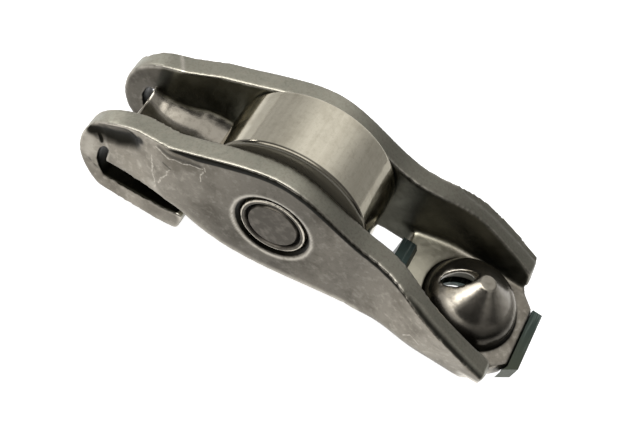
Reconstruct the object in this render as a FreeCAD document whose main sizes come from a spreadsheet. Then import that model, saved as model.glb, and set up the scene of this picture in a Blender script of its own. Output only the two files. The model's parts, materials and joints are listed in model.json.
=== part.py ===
# Roller finger follower of an overhead camshaft engine, pressed from one steel sheet.
# Millimetres. The origin is the centre of the cam roller, +X runs to the pivot end,
# +Y along the roller axis and +Z up, square to the flat web that carries the pivot dome.
import FreeCAD, Part
import Sketcher
import math
import os

from FreeCAD import Placement, Rotation, Vector

SIZES = {
    # Sheet and channel
    "sheet_thickness": 2.45,
    "bend_radius": 0.6,
    "bend_start_radius": 0.5,
    "bend_growth": 6.5,
    "web_drop": 2.45,
    "web_half_width": 5.6,
    "flare_offset": 1.0,
    "flare_length": 8.6,
    "wall_lean": 14.0,
    # Cam roller
    "roller_diameter": 18.0,
    "roller_width": 7.8,
    "roller_side_gap": 0.25,
    "roller_edge": 0.4,
    "window_gap": 4.0,
    # Pin and needles
    "pin_diameter": 7.2,
    "pin_recess": 0.25,
    "pin_edge": 0.25,
    "stake_diameter": 6.3,
    "stake_width": 0.5,
    "stake_depth": 0.4,
    "hole_flare": 0.7,
    "needle_diameter": 1.7,
    "needle_edge": 0.3,
    "race_gap": 0.02,
    # Pivot end
    "pivot_distance": 21.5,
    "wall_end": 4.1,
    "wall_end_height": 2.1,
    "wall_end_slope": 0.7,
    "wall_end_edge": 0.8,
    "wall_end_skew": 20.0,
    "relief_gap": 0.3,
    "relief_length": 2.8,
    "relief_rise": 0.45,
    "web_end": 6.3,
    "web_nose_half": 3.7,
    "web_nose_chamfer": 0.8,
    "web_nose_step": 0.7,
    # Dome, ball socket and oil slot
    "dome_radius": 5.1,
    "dome_height": 5.15,
    "dome_bulge_radius": 4.75,
    "dome_bulge_height": 1.4,
    "dome_shoulder_radius": 3.7,
    "dome_shoulder_height": 2.3,
    "dome_tip_radius": 0.85,
    "dome_tip_edge": 0.15,
    "socket_radius": 4.1,
    "socket_wall": 1.7,
    "socket_mouth_flare": 0.5,
    "oil_slot_offset": 2.6,
    "oil_slot_length": 3.2,
    "oil_slot_width": 2.05,
    "oil_slot_turn": 24.0,
    # Valve end: guide cheeks and pad
    "valve_distance": 15.6,
    "guide_gap": 6.7,
    "guide_bend": 0.6,
    "taper_length": 3.7,
    "pad_depth": 5.35,
    "pad_front": 2.8,
    "pad_crest": 3.4,
    "pad_crest_rise": 0.35,
    "pad_rise": 0.8,
    "pad_end_rise": 1.3,
    "pad_roller_gap": 1.25,
    "pad_seat": 0.75,
    "scoop_radius": 2.0,
    "scoop_depth": 0.6,
    "scoop_length": 3.4,
    "scoop_turn": 31.0,
    "scoop_place": 4.3,
    "scoop_drop": 2.9,
    # Upper edge of the walls: places along X and heights above the roller axis
    "brow_inset": 0.6,
    "brow_depth": 2.7,
    "brow_reach": 4.1,
    "brow_drop": 1.15,
    "cheek_place": 1.6,
    "cheek_height": 1.85,
    "ramp_place": 5.7,
    "ramp_height": 3.85,
    "crown_front": 5.2,
    "crown_front_drop": 1.25,
    "crown_place": 1.0,
    "roller_stand": 1.45,
    "crown_rear": 3.5,
    "crown_rear_drop": 0.8,
    "saddle_place": 8.7,
    "saddle_height": 5.0,
    "shoulder_place": 13.4,
    "shoulder_height": 4.3,
    "tail_place": 2.8,
    "tail_height": 2.6,
    # Lower edge of the walls and the guide hook
    "belly_place": 0.8,
    "roller_hang": 1.65,
    "belly_ramp_place": 5.7,
    "belly_ramp_drop": 1.05,
    "hook_depth": 11.4,
    "hook_reach": 5.95,
    "hook_band": 2.2,
    "hook_heel": 3.4,
    "lobe_height": 4.2,
    "slot_width": 2.4,
    "slot_head": 2.2,
    "slot_head_inset": 0.4,
    "slot_foot_inset": 1.4,
    "slot_arch": 0.75,
    "slot_exit": 0.75,
    "finger_length": 7.1,
    "finger_tip_length": 1.9,
    "finger_neck_height": 3.85,
    "finger_tip_height": 4.3,
    "finger_foot_rise": 1.5,
    "finger_edge": 0.4,
    # Retaining clip
    "clip_thickness": 0.8,
    "clip_gap": 0.05,
    "clip_half_width": 5.1,
    "clip_shoulder": 2.0,
    "clip_tab_half": 2.3,
    "clip_lip": 1.1,
    "clip_mouth": 7.6,
    "clip_slit": 1.2,
    "clip_slit_depth": 2.0,
    "clip_bar_width": 1.15,
    "clip_bar_height": 2.1,
    "clip_bar_half": 3.7,
    "clip_bar_splay": 1.0,
}

# How far raw stock and cutting tools reach past the finished metal
ALLOWANCE = 2.0

doc = FreeCAD.newDocument("rocker_arm")
sheet = doc.addObject("Spreadsheet::Sheet", "Sizes")
for row, (alias, value) in enumerate(SIZES.items(), start=1):
    sheet.set(f"A{row}", alias)
    sheet.set(f"B{row}", str(value))
    sheet.setAlias(f"B{row}", alias)
doc.recompute()


def size(alias):
    """One driving size, read back from the sheet."""
    return float(sheet.get(alias))


# Levels and places that several pieces share, as expressions on the sheet
INNER_HALF = "(Sizes.roller_width / 2 + Sizes.roller_side_gap)"
OUTER_HALF = f"({INNER_HALF} + Sizes.sheet_thickness)"
GUIDE_HALF = "(Sizes.guide_gap / 2)"
RACE_RADIUS = "(Sizes.pin_diameter / 2 + Sizes.needle_diameter + 2 * Sizes.race_gap)"
WINDOW_EDGE = "(Sizes.roller_diameter / 2 + Sizes.window_gap)"
FLARE_START = "(Sizes.roller_diameter / 2 + Sizes.flare_offset)"
WEB_BOTTOM = "(-Sizes.web_drop - Sizes.sheet_thickness)"
WALL_END = "(Sizes.pivot_distance + Sizes.wall_end + Sizes.wall_end_slope)"
HOOK_END = "(-Sizes.valve_distance - Sizes.hook_reach)"
CROWN_HEIGHT = "(Sizes.roller_diameter / 2 - Sizes.roller_stand)"
STOCK_FLOOR = f"(-Sizes.hook_depth - {ALLOWANCE})"
STOCK_HEIGHT = f"({CROWN_HEIGHT} + Sizes.hook_depth + 2 * {ALLOWANCE})"
STOCK_WIDTH = f"(Sizes.web_half_width + 3 * Sizes.sheet_thickness + {ALLOWANCE})"

# The same as numbers, for the curves that are worked out below
thickness = size("sheet_thickness")
roller_radius = size("roller_diameter") / 2
inner_half = size("roller_width") / 2 + size("roller_side_gap")
guide_half = size("guide_gap") / 2
crown_height = roller_radius - size("roller_stand")
stock_top = crown_height + ALLOWANCE
web_top = -size("web_drop")
web_bottom = web_top - thickness
flare_start = roller_radius + size("flare_offset")
pivot = size("pivot_distance")
valve = -size("valve_distance")
wall_head = pivot + size("wall_end")
web_nose = pivot + size("web_end")


def bind(feature, **expressions):
    """Bind properties of a feature to the sheet; a double underscore stands for a dot."""
    for name, expression in expressions.items():
        feature.setExpression(name.replace("__", "."), expression)
    return feature


def carrier(name, shape):
    """A curved profile, made from the sheet's values, for an extrusion, revolution or loft."""
    feature = doc.addObject("Part::Feature", name)
    feature.Shape = shape
    return feature


def hold_corners(sketch, corners):
    """Fill a sketch with a closed outline, each corner held by expressions on the sheet."""
    count = len(corners)
    turns = [2 * math.pi * i / count for i in range(count)]
    start = [Vector(math.cos(turn), math.sin(turn), 0) for turn in turns]
    for i in range(count):
        sketch.addGeometry(Part.LineSegment(start[i], start[(i + 1) % count]), False)
    for i in range(count):
        sketch.addConstraint(Sketcher.Constraint("Coincident", i, 2, (i + 1) % count, 1))
    for i, (across, up) in enumerate(corners):
        for kind, expression in (("DistanceX", across), ("DistanceY", up)):
            index = sketch.addConstraint(Sketcher.Constraint(kind, -1, 1, i, 1, 1.0))
            sketch.setExpression(f"Constraints[{index}]", expression)
    return sketch


def plan_sketch(name, corners):
    """A straight-edged outline in plan, lying at the foot of the raw stock."""
    sketch = hold_corners(doc.addObject("Sketcher::SketchObject", name), corners)
    return bind(sketch, Placement__Base__z=STOCK_FLOOR)


def extrusion(name, base, direction, length):
    """Extrude a profile along an axis by a length bound to the sheet."""
    feature = doc.addObject("Part::Extrusion", name)
    feature.Base = base
    feature.DirMode = "Custom"
    feature.Dir = direction
    feature.Solid = True
    return bind(feature, LengthFwd=length)


def fuse(name, *parts):
    """Join solids of one piece."""
    feature = doc.addObject("Part::MultiFuse", name)
    feature.Shapes = list(parts)
    feature.Refine = True
    return feature


def cut(name, base, tool):
    """Take one solid out of another."""
    feature = doc.addObject("Part::Cut", name)
    feature.Base = base
    feature.Tool = tool
    feature.Refine = True
    return feature


def common(name, first, second):
    """Keep what two solids share."""
    feature = doc.addObject("Part::Common", name)
    feature.Base = first
    feature.Tool = second
    feature.Refine = True
    return feature


def mirrored(name, source):
    """The twin of a solid across the middle plane of the arm."""
    feature = doc.addObject("Part::Mirroring", name)
    feature.Source = source
    feature.Base = Vector(0, 0, 0)
    feature.Normal = Vector(0, 1, 0)
    return feature


# Arm body: half of it is built and mirrored, then the dome and socket are added
def wall_ribbon():
    """One wall before its outline is cut: parallel beside the roller, then in to the guide."""
    start = f"{HOOK_END} - {ALLOWANCE}"
    bend = "(-Sizes.valve_distance - Sizes.guide_bend)"
    inner = [(start, GUIDE_HALF), (bend, GUIDE_HALF), (f"{bend} + Sizes.taper_length", INNER_HALF),
             (FLARE_START, INNER_HALF)]
    outer = [(across, f"{up} + Sizes.sheet_thickness") for across, up in reversed(inner)]
    return extrusion("wall_ribbon", plan_sketch("wall_plan", inner + outer), Vector(0, 0, 1), STOCK_HEIGHT)


def smooth(share):
    """Ease from 0 to 1."""
    share = max(0.0, min(1.0, share))
    return share * share * (3 - 2 * share)


def blend(start, end, share):
    """A value part of the way between two others."""
    return start + (end - start) * share


def channel_section(x):
    """Half of the channel's section at x: web, bend and a wall that leans outwards."""
    past = x - flare_start
    lean = math.radians(size("wall_lean")) * smooth(past / (web_nose - flare_start))
    half = blend(inner_half, size("web_half_width"), smooth(past / size("flare_length")))
    bend = size("bend_radius")
    outer_bend = blend(size("bend_start_radius"), bend + thickness, smooth(past / size("bend_growth")))
    side = Vector(0, math.cos(lean), -math.sin(lean))
    rise = Vector(0, math.sin(lean), math.cos(lean))
    down = Vector(0, 0, -1)
    middle = (math.pi / 2 + lean) / 2
    half_way = Vector(0, math.sin(middle), -math.cos(middle))
    inner = Vector(x, half - bend, web_top + bend)
    inner_foot = inner + side * bend
    face = inner_foot + side * (thickness - outer_bend)
    outer = face + rise * ((web_bottom + outer_bend - face.z) / rise.z)
    outer_foot = outer + side * outer_bend
    inner_head = inner_foot + rise * ((stock_top - inner_foot.z) / rise.z)
    outer_head = outer_foot + rise * ((stock_top - outer_foot.z) / rise.z)
    return Part.Wire([
        Part.makeLine(Vector(x, 0, web_top), inner + down * bend),
        Part.Arc(inner + down * bend, inner + half_way * bend, inner_foot).toShape(),
        Part.makeLine(inner_foot, inner_head),
        Part.makeLine(inner_head, outer_head),
        Part.makeLine(outer_head, outer_foot),
        Part.Arc(outer_foot, outer + half_way * outer_bend, outer + down * outer_bend).toShape(),
        Part.makeLine(outer + down * outer_bend, Vector(x, 0, web_bottom)),
        Part.makeLine(Vector(x, 0, web_bottom), Vector(x, 0, web_top)),
    ])


def pivot_channel():
    """Half of the channel that flares from the roller window to the pivot end."""
    steps = 8
    end = web_nose + ALLOWANCE
    stations = [blend(flare_start, end, step / steps) for step in range(steps + 1)]
    loft = doc.addObject("Part::Loft", "pivot_channel")
    loft.Sections = [carrier(f"channel_section_{number}", channel_section(x))
                     for number, x in enumerate(stations)]
    loft.Solid = True
    loft.Ruled = False
    return loft


def at(x, z):
    """A point of the side view."""
    return Vector(x, 0, z)


def spline(points):
    """A smooth edge through points of the side view."""
    curve = Part.BSplineCurve()
    curve.interpolate(points)
    return curve.toShape()


def chain(points):
    """Straight edges from point to point."""
    return [Part.makeLine(a, b) for a, b in zip(points, points[1:])]


def upper_edge(heel):
    """From the hook's heel round the lobe, over the roller and down to the pivot end."""
    left = valve - size("hook_reach")
    return spline([
        heel,
        at(left, heel.z + size("lobe_height")),
        at(left + size("brow_inset"), -size("brow_depth")),
        at(valve - size("brow_reach"), -size("brow_drop")),
        at(valve + size("cheek_place"), size("cheek_height")),
        at(valve + size("ramp_place"), size("ramp_height")),
        at(-size("crown_front"), crown_height - size("crown_front_drop")),
        at(-size("crown_place"), crown_height),
        at(size("crown_rear"), crown_height - size("crown_rear_drop")),
        at(size("saddle_place"), size("saddle_height")),
        at(size("shoulder_place"), size("shoulder_height")),
        at(pivot - size("tail_place"), size("tail_height")),
        at(wall_head, web_top + size("wall_end_height")),
    ])


def pivot_end_edges():
    """Down the wall's end, then round the web, which its own plan trims, to the roller."""
    below = web_bottom - thickness
    return chain([
        at(wall_head, web_top + size("wall_end_height")),
        at(wall_head + size("wall_end_slope"), web_top),
        at(web_nose + ALLOWANCE, web_top),
        at(web_nose + ALLOWANCE, below),
        at(flare_start, below),
        at(flare_start, web_bottom),
    ])


def guide_hook(foot):
    """The finger under the valve pad and the slot above it, back to the wall's lower lip."""
    low = foot.z
    slot_floor = low + size("hook_band")
    slot_roof = slot_floor + size("slot_width")
    head = slot_roof + size("slot_head")
    left = valve - size("hook_reach") + size("hook_band")
    end = valve + size("finger_length")
    edge = size("finger_edge")
    tip = low + size("finger_tip_height")
    wall_left = valve - size("pad_front")
    lip = at(end - edge, tip + size("slot_exit"))
    slot_foot = at(left + size("slot_foot_inset"), slot_floor)
    slot_head = at(left + size("slot_head_inset"), head)
    edges = chain([
        foot,
        at(end - edge, low + size("finger_foot_rise")),
        at(end, low + size("finger_foot_rise") + edge),
        at(end, tip - edge),
        at(end - edge, tip),
        at(end - size("finger_tip_length"), low + size("finger_neck_height")),
        slot_foot,
    ])
    edges.append(Part.Arc(slot_foot, at(left, slot_roof), slot_head).toShape())
    edges += chain([slot_head, at(wall_left, head), at(wall_left, slot_roof)])
    arch = at((wall_left + lip.x) / 2, slot_roof + size("slot_arch"))
    edges.append(Part.Arc(at(wall_left, slot_roof), arch, lip).toShape())
    return edges, lip


def side_outline():
    """The outline of a wall seen from the side, with the guide hook at the valve end."""
    heel = at(valve - size("hook_reach") + size("hook_heel"), -size("hook_depth"))
    hook, lip = guide_hook(heel)
    belly = spline([
        lip,
        at(-size("belly_place"), size("roller_hang") - roller_radius),
        at(size("belly_ramp_place"), web_bottom - size("belly_ramp_drop")),
        at(flare_start, web_bottom),
    ])
    edges = [upper_edge(heel), belly] + pivot_end_edges() + hook
    return Part.Face(Part.Wire(Part.__sortEdges__(edges)))


def pad_outline():
    """The valve pad seen from the side: a pressed trough of even thickness."""
    lowest = -size("pad_depth")
    sole = lowest - thickness
    rise = size("pad_rise")
    left = valve - size("pad_front")
    crest = valve + size("pad_crest")
    level = lowest + rise
    right = -(math.sqrt(roller_radius ** 2 - level ** 2) + size("pad_roller_gap"))
    top = at(crest, lowest + size("pad_crest_rise"))
    under = at(crest, sole + rise)
    edges = [
        Part.Arc(at(left, level), at(valve, lowest), top).toShape(),
        Part.Arc(at(left, sole + rise), at(valve, sole), under).toShape(),
        Part.makeLine(at(left, sole + rise), at(left, level)),
    ]
    edges += chain([top, at(right, level), at(right, sole + size("pad_end_rise")), under])
    return Part.Face(Part.Wire(Part.__sortEdges__(edges)))


def web_plan():
    """What the shaped pivot end leaves of the web and walls, seen from above."""
    start = f"{HOOK_END} - {ALLOWANCE}"
    half = "Sizes.web_nose_half"
    chamfer = "Sizes.web_nose_chamfer"
    nose = "(Sizes.pivot_distance + Sizes.web_end)"
    corner = "(Sizes.web_half_width + Sizes.wall_end_edge)"
    skew = f"({STOCK_WIDTH} - {corner}) * tan(Sizes.wall_end_skew * 1 deg)"
    return plan_sketch("web_plan", [
        (start, "0"), (nose, "0"), (nose, half), (f"{nose} - {chamfer}", f"{half} + {chamfer}"),
        (WALL_END, f"{half} + {chamfer} + Sizes.web_nose_step"), (WALL_END, corner),
        (f"{WALL_END} - {skew}", STOCK_WIDTH), (start, STOCK_WIDTH)])


def bend_relief():
    """The corner cut away at the end of the bend, below the web's top face."""
    corner = f"({WALL_END} + Sizes.relief_gap)"
    side = "(Sizes.web_half_width - Sizes.bend_radius)"
    reach = "Sizes.relief_length"
    wide = f"({side} + {reach} + Sizes.sheet_thickness)"
    plan = plan_sketch("bend_relief_plan", [
        (corner, side), (f"{corner} + {reach}", side), (f"{corner} + {reach}", wide),
        (f"{corner} - {reach} - Sizes.sheet_thickness", wide)])
    return extrusion("bend_relief", plan, Vector(0, 0, 1),
                     f"-Sizes.web_drop + Sizes.relief_rise - {STOCK_FLOOR}")


def dome_outline():
    """Half section of the pressed dome over the ball socket, turned about the pivot axis."""
    foot = size("dome_radius")
    base = web_top - thickness / 2
    tip = web_top + size("dome_height")
    tip_radius = size("dome_tip_radius")
    edge = size("dome_tip_edge")
    bulge = at(size("dome_bulge_radius"), web_top + size("dome_bulge_height"))
    shoulder = at(size("dome_shoulder_radius"), web_top + size("dome_shoulder_height"))
    edges = chain([at(0, tip), at(0, base), at(foot, base), at(foot, web_top)])
    edges.append(Part.Arc(at(foot, web_top), bulge, shoulder).toShape())
    edges += chain([shoulder, at(tip_radius, tip - edge), at(tip_radius - edge, tip), at(0, tip)])
    return Part.Face(Part.Wire(edges))


def socket_outline():
    """Half section of the ball socket: a spherical cup with a flared mouth."""
    radius = size("socket_radius")
    top = web_top + size("dome_height") - size("socket_wall")
    centre = top - radius
    flare = size("socket_mouth_flare")
    mouth = web_bottom - ALLOWANCE
    eighth = radius * math.sqrt(0.5)
    cup = Part.Arc(at(0, top), at(eighth, centre + eighth), at(radius, centre)).toShape()
    rim = chain([at(radius, centre), at(radius, web_bottom + flare), at(radius + flare, web_bottom),
                 at(radius + flare, mouth), at(0, mouth), at(0, top)])
    return Part.Face(Part.Wire([cup] + rim))


def revolved(name, profile):
    """Turn a half section about the pivot axis."""
    feature = doc.addObject("Part::Revolution", name)
    feature.Source = profile
    feature.Axis = Vector(0, 0, 1)
    feature.Angle = 360
    feature.Solid = True
    return bind(feature, Placement__Base__x="Sizes.pivot_distance")


def oil_slot():
    """The almond-shaped oil opening in the roller side of the dome."""
    length = size("oil_slot_length") / 2
    width = size("oil_slot_width") / 2
    tips = [Vector(-length, 0, 0), Vector(length, 0, 0)]
    edges = [Part.Arc(tips[0], Vector(0, width, 0), tips[1]).toShape(),
             Part.Arc(tips[1], Vector(0, -width, 0), tips[0]).toShape()]
    lens = carrier("oil_slot_outline", Part.Face(Part.Wire(edges)))
    lens.Placement = Placement(Vector(pivot - size("oil_slot_offset"), 0, web_top),
                               Rotation(Vector(0, 0, 1), size("oil_slot_turn")))
    return extrusion("oil_slot", lens, Vector(0, 0, 1), f"Sizes.dome_height + {ALLOWANCE}")


def scoop():
    """The hollow pressed into a wall's outer face below the brow at the valve end."""
    radius = size("scoop_radius")
    reach = guide_half + thickness + radius - size("scoop_depth")
    start = Vector(valve - size("scoop_place"), reach, -size("scoop_drop"))
    turn = math.radians(size("scoop_turn"))
    run = Vector(math.cos(turn), 0, math.sin(turn)) * size("scoop_length")
    body = Part.makeCylinder(radius, run.Length, start, run)
    ends = [Part.makeSphere(radius, start), Part.makeSphere(radius, start + run)]
    return carrier("scoop", body.fuse(ends).removeSplitter())


def pin_hole():
    """The bore for the pin through a wall, with a flared rim outside."""
    bore = doc.addObject("Part::Cylinder", "pin_bore")
    bind(bore, Radius="Sizes.pin_diameter / 2", Height=f"{OUTER_HALF} + {ALLOWANCE}")
    flare = doc.addObject("Part::Cone", "pin_bore_flare")
    bind(flare, Radius1="Sizes.pin_diameter / 2", Radius2="Sizes.pin_diameter / 2 + Sizes.hole_flare",
         Height="Sizes.hole_flare", Placement__Base__z=f"{OUTER_HALF} - Sizes.hole_flare")
    tool = fuse("pin_hole", bore, flare)
    tool.Placement = Placement(Vector(0, 0, 0), Rotation(Vector(1, 0, 0), -90))
    return tool


def roller_window():
    """The opening in the web that the roller turns in, from the hook to the clip's tab."""
    window = doc.addObject("Part::Box", "window")
    return bind(window, Length=WINDOW_EDGE, Width=INNER_HALF, Height=STOCK_HEIGHT,
                Placement__Base__z=STOCK_FLOOR)


def arm_body():
    """The pressed arm: two outlined walls, the pivot web with its dome, and the valve pad."""
    blank = fuse("half_blank", wall_ribbon(), pivot_channel())
    outline = extrusion("outline_stock", carrier("side_outline", side_outline()), Vector(0, 1, 0), STOCK_WIDTH)
    plan = extrusion("plan_stock", web_plan(), Vector(0, 0, 1), STOCK_HEIGHT)
    trimmed = common("trimmed_half", common("outlined_half", blank, outline), plan)
    opened = cut("opened_half", cut("relieved_half", trimmed, bend_relief()), roller_window())
    hollowed = cut("hollowed_half", opened, scoop())
    pad = extrusion("valve_pad", carrier("pad_outline", pad_outline()), Vector(0, 1, 0),
                    f"{INNER_HALF} + Sizes.pad_seat")
    drilled = cut("drilled_half", fuse("half_arm", hollowed, pad), pin_hole())
    whole = fuse("whole_arm", drilled, mirrored("other_half", drilled))
    domed = fuse("domed_arm", whole, revolved("dome", carrier("dome_outline", dome_outline())))
    socket = revolved("socket", carrier("socket_outline", socket_outline()))
    return cut("arm_body", cut("cupped_arm", domed, socket), oil_slot())


# Turned pieces and the clip are bodies with sketches on their own origin planes
def plane_of(body, role):
    """One of a body's origin planes."""
    return next(item for item in body.Origin.OriginFeatures if item.Role == role)


def body_sketch(body, name, role, corners=()):
    """A sketch on one of a body's own planes."""
    sketch = body.newObject("Sketcher::SketchObject", name)
    sketch.AttachmentSupport = (plane_of(body, role), [""])
    sketch.MapMode = "FlatFace"
    return hold_corners(sketch, corners)


def turned_body(name, corners):
    """A body turned about the roller axis from a half section (radius, place along Y)."""
    body = doc.addObject("PartDesign::Body", name)
    turned = body.newObject("PartDesign::Revolution", f"{name}_turned")
    turned.Profile = body_sketch(body, f"{name}_section", "XY_Plane", corners)
    turned.ReferenceAxis = (turned.Profile[0], ["V_Axis"])
    turned.Angle = 360
    body.Tip = turned
    return body


def both_ends(corners):
    """An outline from its half with the second coordinate above zero, and its mirror image."""
    return corners + [(across, f"-({up})") for across, up in reversed(corners)]


def cam_roller():
    """The hardened ring that the cam runs on."""
    outer = "Sizes.roller_diameter / 2"
    half = "Sizes.roller_width / 2"
    edge = "Sizes.roller_edge"
    return turned_body("cam_roller", both_ends([
        (outer, f"{half} - {edge}"), (f"{outer} - {edge}", half),
        (f"{RACE_RADIUS} + {edge} / 2", half), (RACE_RADIUS, f"{half} - {edge} / 2")]))


def roller_pin():
    """The pin across the walls, its ends spread by a ring-shaped stake mark."""
    radius = "Sizes.pin_diameter / 2"
    end = f"({OUTER_HALF} - Sizes.pin_recess)"
    edge = "Sizes.pin_edge"
    ring_out = "(Sizes.stake_diameter / 2)"
    ring_in = f"({ring_out} - Sizes.stake_width)"
    return turned_body("roller_pin", both_ends([
        ("0", end), (ring_in, end), (f"({ring_in} + {ring_out}) / 2", f"{end} - Sizes.stake_depth"),
        (ring_out, end), (f"{radius} - {edge}", end), (radius, f"{end} - {edge}")]))


def needle_roller(number, count):
    """One needle of the full complement between pin and roller."""
    name = f"needle_roller_{number + 1:02d}"
    length = "(Sizes.roller_width - 2 * Sizes.needle_edge)"
    pitch = "(Sizes.pin_diameter / 2 + Sizes.needle_diameter / 2 + Sizes.race_gap)"
    turn = 360 * number / count
    edge = size("needle_edge")
    blank = doc.addObject("Part::Cylinder", f"{name}_blank")
    blank.Placement.Rotation = Rotation(Vector(1, 0, 0), -90)
    bind(blank, Radius="Sizes.needle_diameter / 2", Height=length,
         Placement__Base__x=f"{pitch} * cos({turn} deg)", Placement__Base__y=f"-{length} / 2",
         Placement__Base__z=f"{pitch} * sin({turn} deg)")
    needle = doc.addObject("Part::Chamfer", name)
    needle.Base = blank
    needle.Edges = [(rim, edge, edge) for rim in (1, 3)]
    return needle


def needle_count():
    """As many needles as fit round the pin with a little play."""
    pitch = (size("pin_diameter") + size("needle_diameter")) / 2 + size("race_gap")
    chord = size("needle_diameter") + size("race_gap")
    return math.floor(math.pi / math.asin(chord / (2 * pitch)))


def padded(body, sketch, length, side="One side"):
    """A pad of a sketch, on one side of it or even on both."""
    pad = body.newObject("PartDesign::Pad", f"{sketch.Name}_pad")
    pad.Profile = sketch
    pad.SideType = side
    pad.setExpression("Length", length)
    body.Tip = pad
    return pad


def open_mouth(body, plate_foot):
    """Cut the round mouth for the adjuster's neck and the slit that lets it spring."""
    mouth = body_sketch(body, "mouth", "XY_Plane")
    mouth.addGeometry(Part.Circle(Vector(pivot, 0, 0), Vector(0, 0, 1), size("clip_mouth") / 2), False)
    mouth.addConstraint(Sketcher.Constraint("PointOnObject", 0, 3, -1))
    for kind, names, value in (("DistanceX", (-1, 1, 0, 3), "pivot_distance"), ("Diameter", (0,), "clip_mouth")):
        index = mouth.addConstraint(Sketcher.Constraint(kind, *names, size(value)))
        mouth.setExpression(f"Constraints[{index}]", f"Sizes.{value}")
    slit = body_sketch(body, "slit", "XY_Plane", both_ends([
        ("Sizes.pivot_distance - Sizes.clip_mouth / 2 - Sizes.clip_slit_depth", "Sizes.clip_slit / 2"),
        ("Sizes.pivot_distance", "Sizes.clip_slit / 2")]))
    for sketch in (mouth, slit):
        sketch.setExpression("AttachmentOffset.Base.z", plate_foot)
        pocket = body.newObject("PartDesign::Pocket", f"{sketch.Name}_pocket")
        pocket.Profile = sketch
        pocket.Reversed = True
        pocket.setExpression("Length", "Sizes.clip_thickness")
        body.Tip = pocket
    return body


def retaining_clip():
    """The spring clip under the web that keeps the arm on the ball of its adjuster."""
    body = doc.addObject("PartDesign::Body", "retaining_clip")
    thick = "Sizes.clip_thickness"
    tab = "Sizes.clip_tab_half"
    plate_top = f"({WEB_BOTTOM} - Sizes.clip_gap)"
    plate_foot = f"({plate_top} - {thick})"
    leg_right = f"({WINDOW_EDGE} - Sizes.clip_gap)"
    leg_left = f"({leg_right} - {thick})"
    lip_foot = "(-Sizes.web_drop + Sizes.clip_gap)"
    lip_top = f"({lip_foot} + {thick})"
    lip_end = f"({WINDOW_EDGE} + Sizes.clip_lip)"
    bar_left = "(Sizes.pivot_distance + Sizes.web_end + Sizes.clip_gap)"
    bar_right = f"({bar_left} + Sizes.clip_bar_width)"
    strap = body_sketch(body, "strap", "XZ_Plane", [
        (leg_left, plate_foot), (bar_right, plate_foot), (bar_right, lip_foot), (bar_left, lip_foot),
        (bar_left, plate_top), (leg_right, plate_top), (leg_right, lip_foot), (lip_end, lip_foot),
        (f"{lip_end} - {thick} / 2", lip_top), (leg_left, lip_top)])
    padded(body, strap, f"2 * {tab}", "Symmetric")
    centre = "Sizes.pivot_distance"
    wide = "Sizes.clip_half_width"
    radius = "(Sizes.clip_mouth / 2)"
    plate = body_sketch(body, "plate", "XY_Plane", both_ends([
        (leg_left, tab), (f"{centre} - {wide} - Sizes.clip_shoulder", tab), (f"{centre} - {radius}", wide),
        (f"{centre} + {radius}", wide), (f"{centre} + Sizes.web_end", tab)]))
    plate.setExpression("AttachmentOffset.Base.z", plate_foot)
    padded(body, plate, thick)
    half = "Sizes.clip_bar_half"
    splay = "Sizes.clip_bar_splay"
    bar = body_sketch(body, "bar", "XY_Plane", [
        (bar_right, half), (bar_left, half), (bar_left, f"-({half} + {splay} / 3)"),
        (f"{bar_left} - {splay} / 3", f"-({half} + {splay})"), (bar_right, f"-({half})")])
    bar.setExpression("AttachmentOffset.Base.z", f"{lip_foot} - Sizes.clip_bar_height")
    padded(body, bar, "Sizes.clip_bar_height")
    return open_mouth(body, plate_foot)


total = needle_count()
pieces = [arm_body(), cam_roller(), roller_pin(), retaining_clip()]
pieces += [needle_roller(number, total) for number in range(total)]
doc.recompute()

for item in doc.Objects:
    if "Invalid" in item.State or "Error" in item.State:
        raise RuntimeError(f"{item.Name} failed: {item.State}")
for piece in pieces:
    if piece.Shape.isNull() or not piece.Shape.isValid():
        raise RuntimeError(f"{piece.Name} has no valid shape")

os.makedirs("parts", exist_ok=True)
for piece in pieces:
    piece.Label = piece.Name
    piece.Shape.exportStep(f"parts/{piece.Label}.step")
    print(piece.Label, len(piece.Shape.Solids), round(piece.Shape.Volume, 2), piece.Shape.BoundBox)
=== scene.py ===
"""Roller finger follower: the looks of the pressed arm, roller, pin, needles and clip.

Metres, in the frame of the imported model: the origin is the centre of the cam roller,
+X runs to the pivot end, +Y along the roller axis and +Z up.
"""

import json
import math
from types import SimpleNamespace

import bmesh
import bpy
import numpy as np
from bpy.props import FloatProperty, FloatVectorProperty, IntProperty, PointerProperty
from mathutils import Matrix, Vector
from mathutils.kdtree import KDTree


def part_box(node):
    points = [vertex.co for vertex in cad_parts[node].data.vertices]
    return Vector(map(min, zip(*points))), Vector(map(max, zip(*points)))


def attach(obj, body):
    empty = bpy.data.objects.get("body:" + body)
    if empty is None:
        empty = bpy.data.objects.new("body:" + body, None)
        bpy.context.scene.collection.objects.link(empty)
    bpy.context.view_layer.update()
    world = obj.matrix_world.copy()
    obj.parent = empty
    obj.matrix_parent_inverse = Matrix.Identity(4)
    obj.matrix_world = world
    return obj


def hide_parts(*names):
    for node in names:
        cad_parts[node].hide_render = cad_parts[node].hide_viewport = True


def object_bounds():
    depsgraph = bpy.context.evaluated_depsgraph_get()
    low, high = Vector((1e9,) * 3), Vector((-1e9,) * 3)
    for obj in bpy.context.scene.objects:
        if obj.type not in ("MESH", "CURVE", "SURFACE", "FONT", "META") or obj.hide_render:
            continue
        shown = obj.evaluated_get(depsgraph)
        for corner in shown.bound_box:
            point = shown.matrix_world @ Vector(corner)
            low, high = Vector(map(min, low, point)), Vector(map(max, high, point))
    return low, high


bl_info = {
    "name": "Roller finger follower",
    "version": (1, 0, 0),
    "blender": (4, 5, 0),
    "location": "View3D > Sidebar > Follower",
    "description": "Dresses the pressed arm, cam roller, pin, needles and retaining clip",
    "category": "Object",
}

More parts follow.
